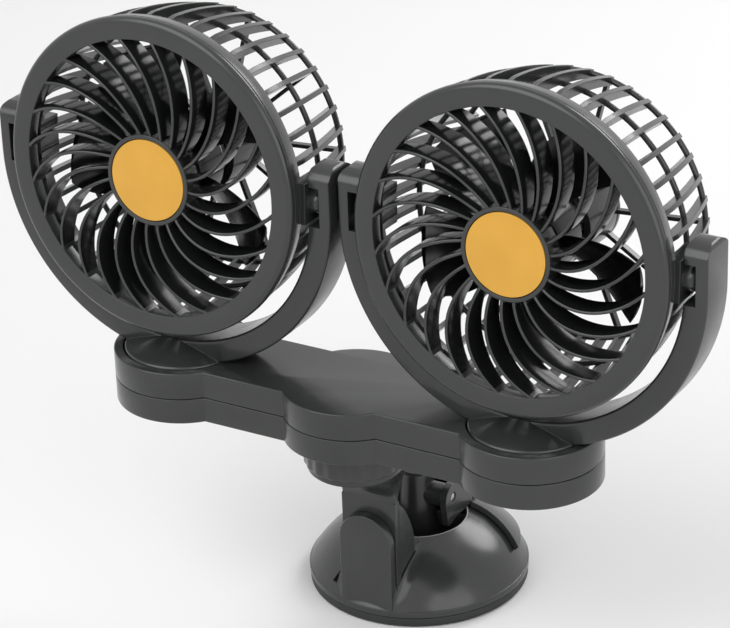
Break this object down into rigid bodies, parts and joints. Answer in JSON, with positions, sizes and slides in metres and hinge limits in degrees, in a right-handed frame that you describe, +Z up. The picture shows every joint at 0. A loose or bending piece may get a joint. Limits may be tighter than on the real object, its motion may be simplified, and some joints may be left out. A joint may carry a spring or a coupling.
{
  "type": "dual head car fan",
  "caption": "two drum-shaped fan heads in swivelling yokes on a lobed cross bar, over a lever-locked suction mount",
  "frame": {"origin": "centre of the suction face, on the surface it holds to", "axes": "+X to the fan at the viewer's right, -Y the way the fans blow, +Z up"},
  "size_m": [0.2786, 0.1116, 0.2307],
  "materials": {
    "charcoal": "satin moulded charcoal grey",
    "black": "moulded black",
    "orange": "flat orange disc, bare",
    "rubber": "soft dark suction rubber",
    "steel": "plain zinc-plated steel",
    "board": "green lacquered board"
  },
  "bodies": {
    "mount": {"suction_pad": "rubber", "base_shell": "charcoal", "neck_bracket": "charcoal", "bracket_screw_lower": "steel", "bracket_screw_upper": "steel"},
    "post": {"suction_post": "black", "hinge_pin": "steel"},
    "lever": {"lock_lever": "charcoal"},
    "ring": {"clamp_ring": "charcoal"},
    "bar": {"bar_lower_shell": "charcoal", "bar_upper_shell": "charcoal", "bar_screw_1": "steel", "bar_screw_2": "steel", "bar_screw_3": "steel", "bar_screw_4": "steel", "bar_washer": "steel", "bar_washer_screw": "steel", "cable_bushing": "black"},
    "yoke_left": {"yoke_left": "charcoal", "turntable_washer_left": "steel", "turntable_screw_left": "steel"},
    "head_left": {"front_grille_left": "charcoal", "hub_badge_left": "orange", "rear_cage_left": "charcoal", "motor_left": "steel", "circuit_board_left": "board", "motor_cover_left": "charcoal", "cage_screw_left_1": "steel", "cage_screw_left_2": "steel", "cage_screw_left_3": "steel"},
    "rotor_left": {"impeller_left": "black", "motor_shaft_left": "steel"},
    "button_left": {"speed_button_left": "black"},
    "yoke_right": {"yoke_right": "charcoal", "turntable_washer_right": "steel", "turntable_screw_right": "steel"},
    "head_right": {"front_grille_right": "charcoal", "hub_badge_right": "orange", "rear_cage_right": "charcoal", "motor_right": "steel", "circuit_board_right": "board", "motor_cover_right": "charcoal", "cage_screw_right_1": "steel", "cage_screw_right_2": "steel", "cage_screw_right_3": "steel"},
    "rotor_right": {"impeller_right": "black", "motor_shaft_right": "steel"},
    "button_right": {"speed_button_right": "black"}
  },
  "joints": [
    {"name": "lock_lever_hinge", "type": "hinge", "parent": "post", "child": "lever", "pos_m": [0, 0, 0.0354], "axis": [1, 0, 0], "range_deg": [0, 75]},
    {"name": "suction_post_slide", "type": "slide", "parent": "mount", "child": "post", "axis": [0, 0, -1], "range_m": [0, 0.0025]},
    {"name": "clamp_ring_turn", "type": "hinge", "parent": "mount", "child": "ring", "pos_m": [0, -0.0441, 0.075], "axis": [0, 0, 1], "range_deg": [-120, 0]},
    {"name": "bar_swivel", "type": "hinge", "parent": "mount", "child": "bar", "pos_m": [0, -0.0441, 0.09], "axis": [0, 0, 1], "continuous": true},
    {"name": "yoke_swivel_left", "type": "hinge", "parent": "bar", "child": "yoke_left", "pos_m": [-0.07045, -0.0441, 0.1], "axis": [0, 0, 1], "range_deg": [-170, 170]},
    {"name": "head_tilt_left", "type": "hinge", "parent": "yoke_left", "child": "head_left", "pos_m": [-0.07045, -0.0441, 0.1709], "axis": [0.9998, -0.0218, 0], "range_deg": [-90, 90]},
    {"name": "rotor_spin_left", "type": "hinge", "parent": "head_left", "child": "rotor_left", "pos_m": [-0.07045, -0.0441, 0.1709], "axis": [-0.0218, -0.9987, 0.0454], "continuous": true},
    {"name": "speed_button_press_left", "type": "slide", "parent": "head_left", "child": "button_left", "axis": [-0.0218, -0.9987, 0.0454], "range_m": [0, 0.0012], "stiffness_N_per_m": 400, "springref_m": -0.0008},
    {"name": "yoke_swivel_right", "type": "hinge", "parent": "bar", "child": "yoke_right", "pos_m": [0.07045, -0.0441, 0.1], "axis": [0, 0, 1], "range_deg": [-170, 170]},
    {"name": "head_tilt_right", "type": "hinge", "parent": "yoke_right", "child": "head_right", "pos_m": [0.07045, -0.0441, 0.1709], "axis": [0.9998, -0.0218, 0], "range_deg": [-90, 90]},
    {"name": "rotor_spin_right", "type": "hinge", "parent": "head_right", "child": "rotor_right", "pos_m": [0.07045, -0.0441, 0.1709], "axis": [-0.0218, -0.9987, 0.0454], "continuous": true},
    {"name": "speed_button_press_right", "type": "slide", "parent": "head_right", "child": "button_right", "axis": [-0.0218, -0.9987, 0.0454], "range_m": [0, 0.0012], "stiffness_N_per_m": 400, "springref_m": -0.0008}
  ],
  "couplings": [
    {"joint": "lock_lever_hinge", "follows": "suction_post_slide", "rad_per_m": 523.6}
  ]
}
